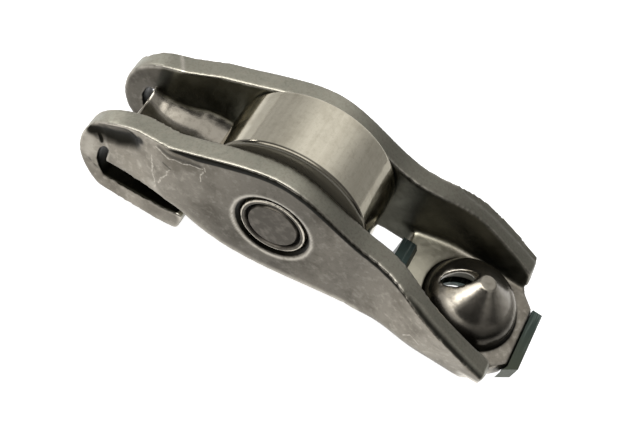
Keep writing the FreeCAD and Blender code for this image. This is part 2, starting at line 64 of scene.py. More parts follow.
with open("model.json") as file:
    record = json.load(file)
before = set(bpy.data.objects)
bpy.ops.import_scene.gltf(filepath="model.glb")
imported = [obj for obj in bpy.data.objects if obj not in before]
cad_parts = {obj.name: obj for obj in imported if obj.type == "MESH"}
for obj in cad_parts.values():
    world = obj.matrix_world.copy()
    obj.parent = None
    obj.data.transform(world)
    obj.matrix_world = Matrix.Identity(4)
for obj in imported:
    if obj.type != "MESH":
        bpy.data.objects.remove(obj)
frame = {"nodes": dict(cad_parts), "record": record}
CAD_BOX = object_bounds()
MM = 0.001
PIVOT_X = next(mount["pos_m"][0] for mount in frame["record"]["mounts"]
               if mount["name"] == "pivot_socket")
ROLLER_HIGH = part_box("cam_roller")[1]
PIN_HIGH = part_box("roller_pin")[1]
CLIP_LOW, CLIP_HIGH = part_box("retaining_clip")
NEEDLE_LOW, NEEDLE_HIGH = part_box("needle_roller_01")
NEEDLES = sorted(name for name in frame["nodes"] if name.startswith("needle_roller"))

# By place along X, in millimetres: half the gap between the walls and its even run over the
# hooks, the width of the step pressed along the rims and of the painted shade line below the rim
WALL_HALVES = {-16.2: 3.35, -12.5: 4.15}
HOOK_HALVES = {-20.5: 3.35, -11: 4.15}
RIM_WIDTHS = {14: 0, 15.2: 0.6, 16.5: 0.85, 20: 0.8, 24: 0.6, 26.2: 0.4}
LINE_WIDTHS = {-15: 0, -13: 0.25, -9.5: 0.75, -6.5: 0.75, 0: 0.6, 9: 0.5, 12: 0.5, 14: 0.35, 26: 0}

# By place along X: how light each kind of face is
FACE_TONES = {-19: 1.0, -14: 1.15, -11: 0.87, -8: 0.72, -4: 0.55, 2: 0.42, 6: 0.62, 9: 0.55,
              12: 0.75, 16: 1.05, 20: 1.15, 26: 1.0}
CUT_TONES = {-18: 1.15, -8: 1.35, 0: 1.12, 6: 0.7, 20: 0.82, 26: 0.92}
FAR_CUT_SHARES = {0: 1.0, 8: 0.86}
# The inner faces', web's and pad's tones paint light and shade; the lobe's tone is painted shade
INNER_TONES = {-10: 1.7, 0: 1.1, 10: 0.6}
WEB_TONES = {12: 1.9, 18: 1.15, 26: 1.0}
PAD_TONES = {-17: 1.0, -15: 0.5, -13.5: 0.32, -11.5: 0.3, -9: 0.3}
LOBE_SHADE_TONE = 0.42

# By place along X: shares of the far bend's width, of the wear and painted highlight on the
# walls' upper corners and of the painted reflection on their lower corners
BEND_SHARES = {-17: 0.65, -11: 1.3}
UPPER_WEAR_AND_HIGHLIGHT = {-15: 1.0, 0.3: 1.0, 1.5: 0.15, 9: 0.15, 10: 1.0, 13.6: 1.0, 14.2: 0}
LOWER_REFLECTION = {-12: 0, -8: 0.35, 10: 0.65, 26: 0.95}

# Where the arm's regions begin and end, in millimetres
PAD_END, PAD_TOP, PAD_BEND_REACH, PAD_SKIN = -8.9, -3.0, 3.8, 1.0
WALL_OUTSIDE, WALL_INSIDE = 5.0, 3.0
WEB_START, WEB_HALF, WEB_TOP = 11.0, 5.4, 3.0
DOME_RADIUS, DOME_BASE = 5.3, -2.6
DOME_FOOT_RADIUS, DOME_FOOT_LEVEL = 5.15, -2.4
BORE_EDGE_RADIUS, BORE_LIP_RADIUS = 3.9, 4.42

# Step in which the rim's profile is read and the size of the clip's bent end, in millimetres
PROFILE_STEP = 0.4
BENT_END_LENGTH, BENT_END_WIDTH = 2.0, 1.9


def linear(code):
    """An sRGB hex colour as linear red, green, blue and alpha."""
    parts = [int(code[i:i + 2], 16) / 255 for i in (1, 3, 5)]
    return [c / 12.92 if c <= 0.04045 else ((c + 0.055) / 1.055) ** 2.4 for c in parts] + [1.0]


def number(name, description, default, **limits):
    """A number property."""
    return FloatProperty(name=name, description=description, default=default, **limits)


def length(name, description, default, **limits):
    """A length property in metres."""
    return number(name, description, default, unit="LENGTH", precision=5, **limits)


def fraction(name, description, default):
    """A number property from 0 to 1."""
    return number(name, description, default, min=0.0, max=1.0)


def angle(name, description, degrees):
    """An angle property with its default given in degrees."""
    return number(name, description, math.radians(degrees), subtype="ANGLE", unit="ROTATION")


def whole_number(name, description, default, **limits):
    """A whole number property."""
    return IntProperty(name=name, description=description, default=default, **limits)


def colour(name, description, code):
    """A colour property with a default given as sRGB hex."""
    return FloatVectorProperty(name=name, description=description, default=linear(code),
                               size=4, subtype="COLOR", min=0.0, max=1.0)


# Sizes and colours that a user would change
class ArmLooks(bpy.types.PropertyGroup):
    """Edge rounding and steel colours of the pressed arm."""
    grain_size: length("Mesh grain", "Edge length of the arm's surface mesh", 0.196 * MM,
                       min=0.15 * MM)
    edge_passes: whole_number("Tumbling", "Smoothing passes that round the edges", 6, min=0, max=20)
    pad_bend: length("Pad bend", "Width of the bends between the pad and the walls", 3.4 * MM)
    pad_bend_rise: length("Pad bend rise", "How far the pad rises at the walls", 1.35 * MM)
    rim_step: length("Rim step", "Depth of the step along the walls' rims at the pivot end", 0.3 * MM)
    tip_flat: length("Tip flat", "How much the punch flattened the dome's tip", 0.16 * MM)
    face: colour("Sheet face", "Tumbled face of the sheet", "#8b857a")
    face_dark: colour("Sheet face stain", "Heat stain on the face of the sheet", "#635d52")
    cut: colour("Cut edge", "Sheared and tumbled edge of the sheet", "#918f82")
    # Painted shade on the faces between the walls
    inside: colour("Inner face", "Scale left on the faces between the walls", "#66655a")
    # Bright wear, also the colour of painted highlights
    worn_and_highlight: colour("Worn edge", "Bright rubbed corner", "#f4eddf")
    # Painted shade, laid in creases, hollows, dents, hooks and below the rim
    painted_shade: colour("Residue", "Oil and quench residue in corners", "#15140f")
    burnished: colour("Burnished", "Coined faces of dome and pad", "#8f897e")


class RollerLooks(bpy.types.PropertyGroup):
    """Edges and colour of the cam roller."""
    race_radius: length("Race radius", "Radius of the roller's bore", 5.34 * MM)
    edge: length("Edge radius", "Rounding of the outer edges", 0.45 * MM)
    segments: whole_number("Segments", "Steps round the roller", 160, min=24)
    ground: colour("Ground steel", "Ground face of the roller", "#d6cfbc")


class PinLooks(bpy.types.PropertyGroup):
    """Stake mark and colour of the roller pin."""
    stake_radius: length("Stake radius", "Outer radius of the stake mark", 3.15 * MM)
    stake_width: length("Stake width", "Width of the stake groove", 0.5 * MM)
    stake_depth: length("Stake depth", "Depth of the stake groove", 0.4 * MM)
    edge: length("Edge radius", "Rounding of the pin's ends", 0.2 * MM)
    segments: whole_number("Segments", "Steps round the pin", 96, min=24)
    turned: colour("Turned steel", "Turned face of the pin", "#4c4841")


class NeedleLooks(bpy.types.PropertyGroup):
    """The full row of needles between pin and roller."""
    end_radius: length("End radius", "Rounding of the needles' ends", 0.3 * MM)
    segments: whole_number("Segments", "Steps round each needle", 20, min=8)
    count: whole_number("Needles", "Needles in the row", len(NEEDLES), min=3)


class ClipLooks(bpy.types.PropertyGroup):
    """Edges and colours of the retaining clip."""
    edge: length("Edge width", "Rounding of the clip's edges", 0.09 * MM)
    blued: colour("Blued steel", "Dark tempered face of the spring steel", "#39433f")
    sheared: colour("Sheared end", "Greyer steel of the bent end", "#4b4f44")


class StageLooks(bpy.types.PropertyGroup):
    """Camera, light and floor."""
    aim: FloatVectorProperty(name="Aim", description="Point that the camera looks at", size=3,
                             default=(3.3848 * MM, -1.926 * MM, 0.0), subtype="TRANSLATION",
                             unit="LENGTH")
    distance: length("Distance", "From the aim to the camera", 136.28 * MM)
    elevation: angle("Elevation", "How steeply the camera looks down", 55.080)
    azimuth: angle("Azimuth", "Turn of the view from +Y towards +X", 1.106)
    roll: angle("Roll", "Turn of the picture about the view", 32.843)
    lens: number("Lens", "Focal length in millimetres", 75.74, min=1.0)
    floor_size: length("Floor", "Side of the pale floor", 3.0)
    floor: colour("Floor colour", "Pale matt floor", "#b9b9b9")
    floor_glow: fraction("Floor glow", "White added where the floor is seen", 0.92)
    mirror_glow: fraction("Mirrored glow", "White added where metal mirrors the floor", 0.7)
    back_light: number("Back light", "Strength of the room behind the object", 0.95, min=0.0)
    front_light: number("Front light", "Strength of the low room on the camera's side", 0.08, min=0.0)
    roof_light: number("Roof light", "Strength of the bright strip overhead", 4.2, min=0.0)
    right_share: fraction("Right share", "Share of the back light left at the right", 0.35)
    left_share: fraction("Left share", "Share of the back light left at the left", 0.5)


# Shared mesh helpers
def add_object(name, data):
    """An object for a mesh, lamp or camera, in the scene."""
    made = bpy.data.objects.new(name, data)
    bpy.context.scene.collection.objects.link(made)
    return made


def finish_mesh(name, mesh, material, smooth=True):
    """An object at the origin made of one mesh and one material."""
    mesh.name = name
    mesh.materials.clear()
    mesh.materials.append(material)
    if smooth:
        mesh.shade_smooth()
    return add_object(name, mesh)


def evaluated_mesh(piece):
    """A plain mesh of an object with its modifiers applied; the object is removed."""
    graph = bpy.context.evaluated_depsgraph_get()
    mesh = bpy.data.meshes.new_from_object(piece.evaluated_get(graph), depsgraph=graph)
    bpy.data.objects.remove(piece)
    return mesh


def merged_copy(node, scale=1.0):
    """A copy of a CAD node with its loose triangles merged, on an object of its own."""
    form = bmesh.new()
    form.from_mesh(frame["nodes"][node].data)
    bmesh.ops.remove_doubles(form, verts=form.verts, dist=0.0005 * MM)
    mesh = bpy.data.meshes.new(f"{node}_merged")
    form.to_mesh(mesh)
    form.free()
    mesh.transform(Matrix.Scale(scale, 4))
    return add_object(f"{node}_merged", mesh)


def fillet(before, corner, after, radius, steps=6):
    """Points of an arc that rounds one corner of a section."""
    back = (before - corner).normalized()
    ahead = (after - corner).normalized()
    half = math.acos(max(-1.0, min(1.0, back.dot(ahead)))) / 2
    if radius <= 0 or half > math.radians(89):
        return [corner]
    reach = min(radius / math.tan(half), (before - corner).length / 2, (after - corner).length / 2)
    start, end = corner + back * reach, corner + ahead * reach
    points = []
    for step in range(steps + 1):
        share = step / steps
        points.append(start.lerp(corner, share).lerp(corner.lerp(end, share), share))
    # A support point beside each end keeps the flats' shading flat
    support = reach * 0.25
    return [start + back * support] + points + [end + ahead * support]


def rounded_section(corners, closed):
    """A section from (radius, place, rounding) corners, with its corners rounded."""
    count = len(corners)
    points = [Vector((radius, place)) for radius, place, _ in corners]
    outline = []
    for i, (point, (_, _, rounding)) in enumerate(zip(points, corners)):
        if closed or 0 < i < count - 1:
            outline += fillet(points[i - 1], point, points[(i + 1) % count], rounding)
        else:
            outline.append(point)
    return outline


def lathe(name, corners, segments, material, closed=False):
    """A solid turned about the Y axis from a section of (radius, place, rounding) corners."""
    outline = rounded_section(corners, closed)
    form = bmesh.new()
    rings = []
    for point in outline:
        if point.x < 1e-9:
            rings.append([form.verts.new((0, point.y, 0))])
            continue
        turns = [2 * math.pi * i / segments for i in range(segments)]
        rings.append([form.verts.new((point.x * math.cos(turn), point.y, point.x * math.sin(turn)))
                      for turn in turns])
    pairs = list(zip(rings, rings[1:]))
    if closed:
        pairs.append((rings[-1], rings[0]))
    for first, second in pairs:
        for i in range(segments):
            j = (i + 1) % segments
            around = [first[i % len(first)], first[j % len(first)],
                      second[j % len(second)], second[i % len(second)]]
            form.faces.new(list(dict.fromkeys(around)))
    bmesh.ops.recalc_face_normals(form, faces=form.faces)
    mesh = bpy.data.meshes.new(name)
    form.to_mesh(mesh)
    form.free()
    return finish_mesh(name, mesh, material)


# Shared node helpers
def add_node(tree, kind, inputs=None, **settings):
    """A node with its settings, socket values and links."""
    made = tree.nodes.new(kind)
    for name, value in settings.items():
        setattr(made, name, value)
    for socket, value in (inputs or {}).items():
        if isinstance(value, bpy.types.NodeSocket):
            tree.links.new(value, made.inputs[socket])
        else:
            made.inputs[socket].default_value = value
    return made


def new_material(name):
    """An empty material, its node tree and object coordinates in millimetres."""
    material = bpy.data.materials.new(name)
    material.use_nodes = True
    tree = material.node_tree
    tree.nodes.clear()
    place = add_node(tree, "ShaderNodeTexCoord").outputs["Object"]
    return material, tree, vector_math(tree, "SCALE", {0: place, "Scale": 1 / MM})


def new_group(name, kind, inputs, results):
    """A node group with its sockets, and the outputs of its input node."""
    tree = bpy.data.node_groups.new(name, kind)
    for side, sockets in (("INPUT", inputs), ("OUTPUT", results)):
        for socket, socket_kind in sockets.items():
            tree.interface.new_socket(socket, in_out=side, socket_type="NodeSocket" + socket_kind)
    return tree, add_node(tree, "NodeGroupInput").outputs


def number_math(tree, operation, *values, **settings):
    """The result of a maths node."""
    return add_node(tree, "ShaderNodeMath", dict(enumerate(values)), operation=operation,
                    **settings).outputs[0]


def vector_math(tree, operation, inputs, result="Vector"):
    """The result of a vector maths node."""
    return add_node(tree, "ShaderNodeVectorMath", inputs, operation=operation).outputs[result]


def side_view(tree, place):
    """A place seen along Y."""
    return vector_math(tree, "MULTIPLY", {0: place, 1: (1, 0, 1)})


def coordinate(tree, place, axis):
    """One coordinate of a place."""
    return add_node(tree, "ShaderNodeSeparateXYZ", {0: place}).outputs[axis]


def noise(tree, place, per_mm, detail=3.0, roughness=0.55, stretch=(1, 1, 1)):
    """Noise with a given number of grains per millimetre, from about 0.3 to 0.7."""
    mapped = add_node(tree, "ShaderNodeMapping", {"Vector": place, "Scale": stretch}).outputs[0]
    return add_node(tree, "ShaderNodeTexNoise", {"Vector": mapped, "Scale": per_mm, "Detail": detail,
                                                 "Roughness": roughness}).outputs["Fac"]


def graded(tree, value, low, high, out_low=0.0, out_high=1.0):
    """A value eased from one range to another."""
    return add_node(tree, "ShaderNodeMapRange", {0: value, 1: low, 2: high, 3: out_low, 4: out_high},
                    interpolation_type="SMOOTHSTEP").outputs[0]


def mixed(tree, share, first, second):
    """One colour blended into another; they are the mix node's sockets 6 and 7."""
    return add_node(tree, "ShaderNodeMix", {0: share, 6: first, 7: second}, data_type="RGBA").outputs[2]


def layered(tree, base, *layers):
    """A colour with others laid over it, each with its share."""
    for share, tint in layers:
        base = mixed(tree, share, base, tint)
    return base


def between(tree, share, first, second):
    """One number blended into another."""
    return add_node(tree, "ShaderNodeMix", {0: share, 2: first, 3: second}).outputs[0]


def product(tree, first, second):
    """Two numbers multiplied."""
    return number_math(tree, "MULTIPLY", first, second)


def attribute(tree, name):
    """A number stored at the points of the mesh."""
    return add_node(tree, "ShaderNodeAttribute", attribute_name=name).outputs["Fac"]


def bumped(tree, height, distance, strength, normal=None):
    """A bump normal, on top of another if one is given; the height is a share of the
    distance in metres."""
    inputs = {"Height": height, "Distance": distance, "Strength": strength}
    if normal is not None:
        inputs["Normal"] = normal
    return add_node(tree, "ShaderNodeBump", inputs).outputs[0]


def metal(tree, base, roughness, normal, metallic=1.0):
    """A metal surface as the material's output."""
    shader = add_node(tree, "ShaderNodeBsdfPrincipled", {
        "Base Color": base, "Metallic": metallic, "Roughness": roughness, "Normal": normal})
    add_node(tree, "ShaderNodeOutputMaterial", {"Surface": shader.outputs[0]})


# Paths on the near wall's outer face: (x, z) places in millimetres, with half the stroke's
# width between them. Scratches are bright worn marks, the other bright places are painted
# highlight, and dents and the hollow below the brow are painted shade
SCRATCHES = [
    [(-13.96, -0.6), 0.15, (-13.2, -2.75), 0.18, (-12.46, -4.79)],
    [(-11.78, -0.87), 0.12, (-11.97, -2.46), 0.18, (-12.2, -3.91)],
    [(-8.61, 2.04), 0.15, (-8.49, 1.2), 0.12, (-8.28, 0.44)],
    [(-8.69, 2.73), 0.14, (-8.35, 2.32)],
    [(16.79, -1.74), 0.14, (17.26, -0.9), 0.12, (17.9, -1.04), 0.11, (18.55, -1.43)],
    [(-13.9, 1.0), 0.14, (-12.05, 0.98), 0.14, (-10.3, 1.7), 0.12, (-8.77, 2.42)],
]
# Bright strokes painted as highlight on the lobe and its ridge
PAINTED_HIGHLIGHTS = [
    [(-12.96, -4.71), 0.8, (-11.4, -6.15)],
    [(-20.6, -4.7), 1.3, (-20.4, -7.2)],
    [(-19.82, -2.83), 0.3, (-18.6, -4.3)],
]
SHADED_DENTS = [
    [(-13.55, 1.4), 0.42, (-11.8, 1.5), 0.52, (-9.1, 2.55)],
    [(-12.52, -0.27), 0.22, (-11.64, -0.53)],
    [(-20.08, -8.05), 0.3, (-19.9, -8.15)],
    [(-19.3, -8.41), 0.25, (-18.83, -8.63)],
]
SHADED_HOLLOWS = [
    [(-20.8, -3.5), 1.2, (-19.3, -2.9), 1.6, (-18.0, -2.35), 1.8, (-16.4, -1.2), 0.9, (-15.7, -0.1)],
    [(-20.2, -3.5), 0.45, (-19.4, -4.1)],
]


def stroke_group():
    """A node group: how near a point of the side view is to a straight stroke, 1 on it."""
    tree, given = new_group("stroke", "ShaderNodeTree", {
        "Place": "Vector", "Start": "Vector", "Run": "Vector", "Half width": "Float"}, {"Mask": "Float"})
    run = given["Run"]
    offset = vector_math(tree, "SUBTRACT", {0: given["Place"], 1: given["Start"]})
    along = vector_math(tree, "DOT_PRODUCT", {0: offset, 1: run}, "Value")
    whole = vector_math(tree, "DOT_PRODUCT", {0: run, 1: run}, "Value")
    share = number_math(tree, "DIVIDE", along, whole, use_clamp=True)
    foot = vector_math(tree, "SCALE", {0: run, "Scale": share})
    away = vector_math(tree, "DISTANCE", {0: offset, 1: foot}, "Value")
    add_node(tree, "NodeGroupOutput", {"Mask": graded(tree, away, given["Half width"], 0.0)})
    return tree


def strokes(tree, place, group, paths):
    """The strongest of the strokes along several paths."""
    total = 0.0
    for path in paths:
        for (x, z), half_width, (end_x, end_z) in zip(path[::2], path[1::2], path[2::2]):
            mask = add_node(tree, "ShaderNodeGroup", {
                "Place": place, "Start": (x, 0, z), "Run": (end_x - x, 0, end_z - z),
                "Half width": half_width}, node_tree=group).outputs[0]
            total = number_math(tree, "MAXIMUM", total, mask)
    return total


def pressed_steel(looks):
    """Low alloy steel sheet, pressed, hardened and tumbled: satin warm grey faces with blotchy
    heat stain, finer greenish cut edges, worn corners with painted highlight and painted shade in
    hollows."""
    material, tree, place = new_material("tumbled_pressed_steel")
    # Stain patches of 4 mm, orange peel of 0.6 mm and media marks of 0.25 mm, drawn
    # twice as coarse as real so that they show
    stain = noise(tree, place, 0.26, 4.0, 0.55)
    peel = noise(tree, place, 1.6, 3.0)
    media = noise(tree, place, 4.2, 2.0, 0.5)
    coined_mask = attribute(tree, "coined")
    worn_and_highlight_mask = product(tree, attribute(tree, "worn_and_highlight"), graded(tree, peel, 0.3, 0.5, 0.55, 1.0))

    # Marks on the near wall; the scratches waver, over about 1 mm and by 0.2 mm or so
    flat = side_view(tree, place)
    waver = add_node(tree, "ShaderNodeTexNoise", {"Vector": flat, "Scale": 0.9, "Detail": 3.0})
    wavering = vector_math(tree, "MULTIPLY_ADD", {
        0: waver.outputs["Color"], 1: (0.9, 0.0, 0.9), 2: flat})
    wavering = vector_math(tree, "SUBTRACT", {0: wavering, 1: (0.45, 0.0, 0.45)})
    group = stroke_group()
    near_mask = attribute(tree, "near_face")
    # Scratches are worn marks; the other strokes are painted highlight and painted shade
    scratches, painted_highlight, dent_shade, hollow_shade = [
        product(tree, strokes(tree, where, group, paths), near_mask)
        for where, paths in ((wavering, SCRATCHES), (flat, PAINTED_HIGHLIGHTS), (flat, SHADED_DENTS), (flat, SHADED_HOLLOWS))]

    face = layered(
        tree, looks.face_dark,
        (graded(tree, stain, 0.3, 0.6, 0.15, 1.0), looks.face),
        (graded(tree, peel, 0.45, 0.8, 0.0, 0.2), looks.worn_and_highlight),
        (graded(tree, media, 0.45, 0.25, 0.0, 0.3), looks.face_dark))
    cut = layered(
        tree, looks.cut,
        (graded(tree, peel, 0.35, 0.7, 0.0, 0.45), looks.face),
        (graded(tree, media, 0.45, 0.7, 0.0, 0.25), looks.face_dark))
    # The inner faces are darkened as painted shade, the web's left part lightened as painted light
    deeper_inner_shade, painted_web_light = linear("#4d4b40"), linear("#a8a493")
    inside = mixed(tree, graded(tree, stain, 0.35, 0.65, 0.0, 0.8), looks.inside, deeper_inner_shade)
    coined = mixed(tree, graded(tree, peel, 0.45, 0.7, 0.0, 0.4), looks.burnished, looks.face_dark)
    base = layered(
        tree, face,
        (attribute(tree, "cut_edge"), cut),
        (attribute(tree, "inside"), inside),
        (coined_mask, coined),
        (attribute(tree, "web"), painted_web_light))
    base = vector_math(tree, "SCALE", {0: base, "Scale": attribute(tree, "tone")})
    # Over the tones: painted shade, painted highlights, worn corners partly painted highlight, scratches
    base = layered(
        tree, base,
        (product(tree, attribute(tree, "crease_shade"), 0.8), looks.painted_shade),
        (product(tree, painted_highlight, 0.2), looks.worn_and_highlight),
        (product(tree, dent_shade, 0.55), looks.painted_shade),
        (product(tree, worn_and_highlight_mask, 0.85), looks.worn_and_highlight),
        (graded(tree, hollow_shade, 0.05, 0.85, 0.0, 0.97), looks.painted_shade),
        (graded(tree, attribute(tree, "shade"), 0.1, 0.5), looks.painted_shade),
        (product(tree, scratches, graded(tree, media, 0.35, 0.6, 0.15, 0.4)), looks.worn_and_highlight))

    coined_rough = graded(tree, coordinate(tree, place, "X"), -5.0, 10.0, 0.2, 0.27)
    rough = between(tree, coined_mask, graded(tree, peel, 0.3, 0.7, 0.34, 0.46), coined_rough)
    rough = between(tree, worn_and_highlight_mask, rough, 0.2)
    # Worn corners and painted highlights keep little of the orange peel
    peel_left = graded(tree, worn_and_highlight_mask, 0.0, 0.6, 0.6, 0.1)
    fine = bumped(tree, media, 0.008 * MM, 0.4)
    metal(tree, base, rough, bumped(tree, peel, 0.02 * MM, peel_left, fine))
    return material


def ground_steel(looks):
    """Through-hardened bearing steel, fine ground: pale, bright and warm, with faint streaks along
    the axis, dull spots, and ends and near edge painted dark as shade."""
    material, tree, place = new_material("ground_bearing_steel")
    # Wear streaks along the axis, 0.7 mm apart, clouds of 2 mm and dull spots of 0.4 mm
    streaks = noise(tree, place, 1.4, 2.0, 0.6, stretch=(1.0, 0.04, 1.0))
    cloud = noise(tree, place, 0.45, 4.0, 0.6)
    spots = noise(tree, place, 2.4, 2.0)
    along = coordinate(tree, place, "Y")
    half = ROLLER_HIGH.y / MM
    # Painted shade along the roller's near edge
    near_edge_shade = graded(tree, along, 0.52 - half, 0.4 - half, 0.0, 0.8)
    ends = graded(tree, number_math(tree, "ABSOLUTE", along), half - 0.2, half - 0.08)
    streaked, clouded, spotted = linear("#b3ab98"), linear("#a79f8c"), linear("#8d8674")
    edge_shade_tint, end_shade = linear("#2a2620"), linear("#5c584d")
    base = layered(
        tree, looks.ground,
        (graded(tree, streaks, 0.35, 0.7, 0.0, 0.3), streaked),
        (graded(tree, cloud, 0.45, 0.7, 0.0, 0.35), clouded),
        (graded(tree, spots, 0.5, 0.7, 0.0, 0.14), spotted),
        (near_edge_shade, edge_shade_tint),
        (product(tree, ends, 0.93), end_shade))
    # The ends are painted dark as shade and keep little of the metal's mirror
    metal(tree, base, graded(tree, cloud, 0.3, 0.7, 0.09, 0.15),
          bumped(tree, streaks, 0.002 * MM, 0.3), graded(tree, ends, 0.0, 1.0, 1.0, 0.2))
    return material


def pin_steel(looks):
    """Bearing steel bar, turned and staked: grey ends with rings left by the tool."""
    material, tree, place = new_material("turned_pin_steel")
    radius = vector_math(tree, "LENGTH", {0: side_view(tree, place)}, "Value")
    # Tool rings 0.08 mm apart, drawn at about 0.2 mm so that they show
    rings = add_node(tree, "ShaderNodeTexNoise", {"W": radius, "Scale": 4.5, "Detail": 2.0},
                     noise_dimensions="1D").outputs["Fac"]
    spots = noise(tree, place, 1.2, 3.0)
    # Painted highlight: a ring 0.2 mm wide where the staked edge stands proud
    painted_highlight = product(tree, graded(tree, radius, 3.36, 3.44), graded(tree, spots, 0.3, 0.5, 0.3, 0.9))
    ringed, pale = linear("#4c463f"), linear("#a9a297")
    bright, shaded = linear("#d9d1c2"), linear("#14110d")
    base = layered(
        tree, looks.turned,
        (graded(tree, rings, 0.35, 0.65, 0.0, 0.45), ringed),
        (graded(tree, spots, 0.4, 0.75, 0.0, 0.2), pale),
        (painted_highlight, bright),
        (attribute(tree, "stake"), shaded))
    metal(tree, base, graded(tree, spots, 0.3, 0.7, 0.3, 0.42), bumped(tree, rings, 0.01 * MM, 0.5))
    return material


def spring_steel(looks):
    """Spring steel strip, tempered dark: blue-black oxide, greyer on the bent end."""
    material, tree, place = new_material("blued_spring_steel")
    # Oxide mottle 1 mm wide, rolling streaks along the strip 0.3 mm apart and grain of 0.17 mm
    mottle = noise(tree, place, 1.0, 4.0, 0.6)
    streaks = noise(tree, place, 3.0, 2.0, stretch=(1.0, 0.06, 1.0))
    grain = noise(tree, place, 6.0, 2.0)
    mottled, streaked = linear("#3d4a48"), linear("#77807a")
    base = layered(
        tree, looks.blued,
        (graded(tree, mottle, 0.35, 0.7, 0.0, 0.6), mottled),
        (graded(tree, streaks, 0.52, 0.68, 0.0, 0.6), streaked),
        (attribute(tree, "sheared"), looks.sheared))
    metal(tree, base, graded(tree, grain, 0.3, 0.7, 0.3, 0.45), bumped(tree, grain, 0.008 * MM, 0.5))
    return material


# The arm
def point_arrays(mesh):
    """Places in millimetres, normals and edges of a mesh as arrays."""
    count = len(mesh.vertices)
    places = np.empty(count * 3, np.float32)
    normals = np.empty(count * 3, np.float32)
    edges = np.empty(len(mesh.edges) * 2, np.int32)
    mesh.vertices.foreach_get("co", places)
    mesh.vertices.foreach_get("normal", normals)
    mesh.edges.foreach_get("vertices", edges)
    return places.reshape(-1, 3) / MM, normals.reshape(-1, 3), edges.reshape(-1, 2)


def neighbours(edges):
    """Both ends of every edge, and beside each the point at the edge's other end."""
    return np.concatenate([edges[:, 0], edges[:, 1]]), np.concatenate([edges[:, 1], edges[:, 0]])


def spread(values, edges, passes):
    """Values averaged with their neighbours' a number of times."""
    ends, others = neighbours(edges)
    degree = np.maximum(np.bincount(ends, minlength=len(values)), 1)
    for _ in range(passes):
        total = np.bincount(ends, weights=values[others], minlength=len(values))
        values = 0.5 * values + 0.5 * total / degree
    return values


def eased(values, low, high):
    """Values eased from 0 at low to 1 at high."""
    share = np.clip((values - low) / (high - low), 0, 1)
    return share * share * (3 - 2 * share)


def bulge(places, normals, edges):
    """How far each point stands out from its neighbours along its normal, in millimetres."""
    ends, others = neighbours(edges)
    degree = np.maximum(np.bincount(ends, minlength=len(places)), 1)
    mean = [np.bincount(ends, weights=places[others, axis], minlength=len(places)) / degree
            for axis in range(3)]
    return ((places - np.stack(mean, axis=1)) * normals).sum(axis=1)


def store(mesh, name, values):
    """Keep a number for each point of a mesh."""
    mesh.attributes.new(name, "FLOAT", "POINT").data.foreach_set("value", values.astype(np.float32))


def nearest(places, targets):
    """Distance from each place to the nearest of the target places."""
    tree = KDTree(len(targets))
    for index, target in enumerate(targets):
        tree.insert(target, index)
    tree.balance()
    return np.array([tree.find(place)[2] for place in places])


def by_place(x, table):
    """A table's values at each x, drawn straight between its places."""
    return np.interp(x, list(table), list(table.values()))


def bend_pad(places, normals, looks):
    """Raise the pad towards the walls, so that it runs into them in round bends."""
    x, y, z = places.T
    middle = (np.abs(y) < 0.6) & (normals[:, 2] > 0.8) & (x < PAD_END) & (z < PAD_TOP)
    order = np.argsort(x[middle])
    level = np.interp(x, x[middle][order], z[middle][order])
    gap = by_place(x, WALL_HALVES) - np.abs(y)
    height = z - level
    # The far bend widens towards the roller
    widening = np.where(y > 0, by_place(x, BEND_SHARES), 1)
    share = widening * np.clip(1 - gap / (widening * looks.pad_bend / MM), 0, 1) ** 2.5
    above = np.clip(1 - height / PAD_BEND_REACH, 0, 1) ** 2
    below = np.clip(1 + height / PAD_SKIN, 0, 1) ** 2
    near = (gap > -0.1) & (x < PAD_END) & (x > x[middle].min() - 0.2)
    z += np.where(near, looks.pad_bend_rise / MM * share * np.where(height > 0, above, below), 0)


def ease_hooks(places):
    """Spread the walls' step over the whole length of the hooks below the brow."""
    x, y, z = places.T
    even = by_place(x, HOOK_HALVES)
    share = eased(np.abs(y), 2.9, 3.6) * eased(-z, 3.0, 5.5)
    y += np.sign(y) * (even - by_place(x, WALL_HALVES)) * share


def along_x(x, values, pick):
    """A smooth curve along X through one picked value in each step."""
    starts = np.arange(x.min(), x.max(), PROFILE_STEP)
    index = np.digitize(x, starts)
    kept = np.unique(index)
    found = np.array([pick(values[index == i]) for i in kept])
    smooth = np.convolve(np.pad(found, 2, "edge"), np.ones(5) / 5, "valid")
    return lambda at: np.interp(at, starts[kept - 1] + PROFILE_STEP / 2, smooth)


def rim_distance(places, normals):
    """Distance to the walls' outer upper corners, down the faces and across the rims."""
    x, y, z = places.T
    distance = np.zeros(len(x))
    half_step = PROFILE_STEP / 2
    for side in (-1, 1):
        wall = y * side > WALL_OUTSIDE
        rim = wall & (normals[:, 2] > 0.7)
        top = along_x(x[rim], z[rim], np.max)
        fall = top(x) - z
        face = wall & (normals[:, 1] * side > 0.9) & (fall > 0.4) & (fall < 1.4)
        outer = along_x(x[face], np.abs(y[face]), np.median)
        slope = (top(x + half_step) - top(x - half_step)) / PROFILE_STEP
        reach = np.maximum(fall / np.hypot(1, slope), outer(x) - np.abs(y))
        distance = np.where(y * side > 0, reach, distance)
    # The corners are rounded by about 0.12 mm
    return np.maximum(distance - 0.12, 0)


def foot_distance(places, normals, edges, curve):
    """Distance to the walls' outer lower corners, the pin's bores left out."""
    outward = normals[:, 1] * np.sign(places[:, 1])
    corner = (outward > 0.45) & (outward < 0.9) & (curve > 0.8) & (np.abs(places[:, 1]) > WALL_OUTSIDE)
    corner &= (np.hypot(places[:, 0], places[:, 2]) > 5.5) & (normals[:, 2] < -0.2)
    return spread(nearest(places, places[corner]), edges, 3)


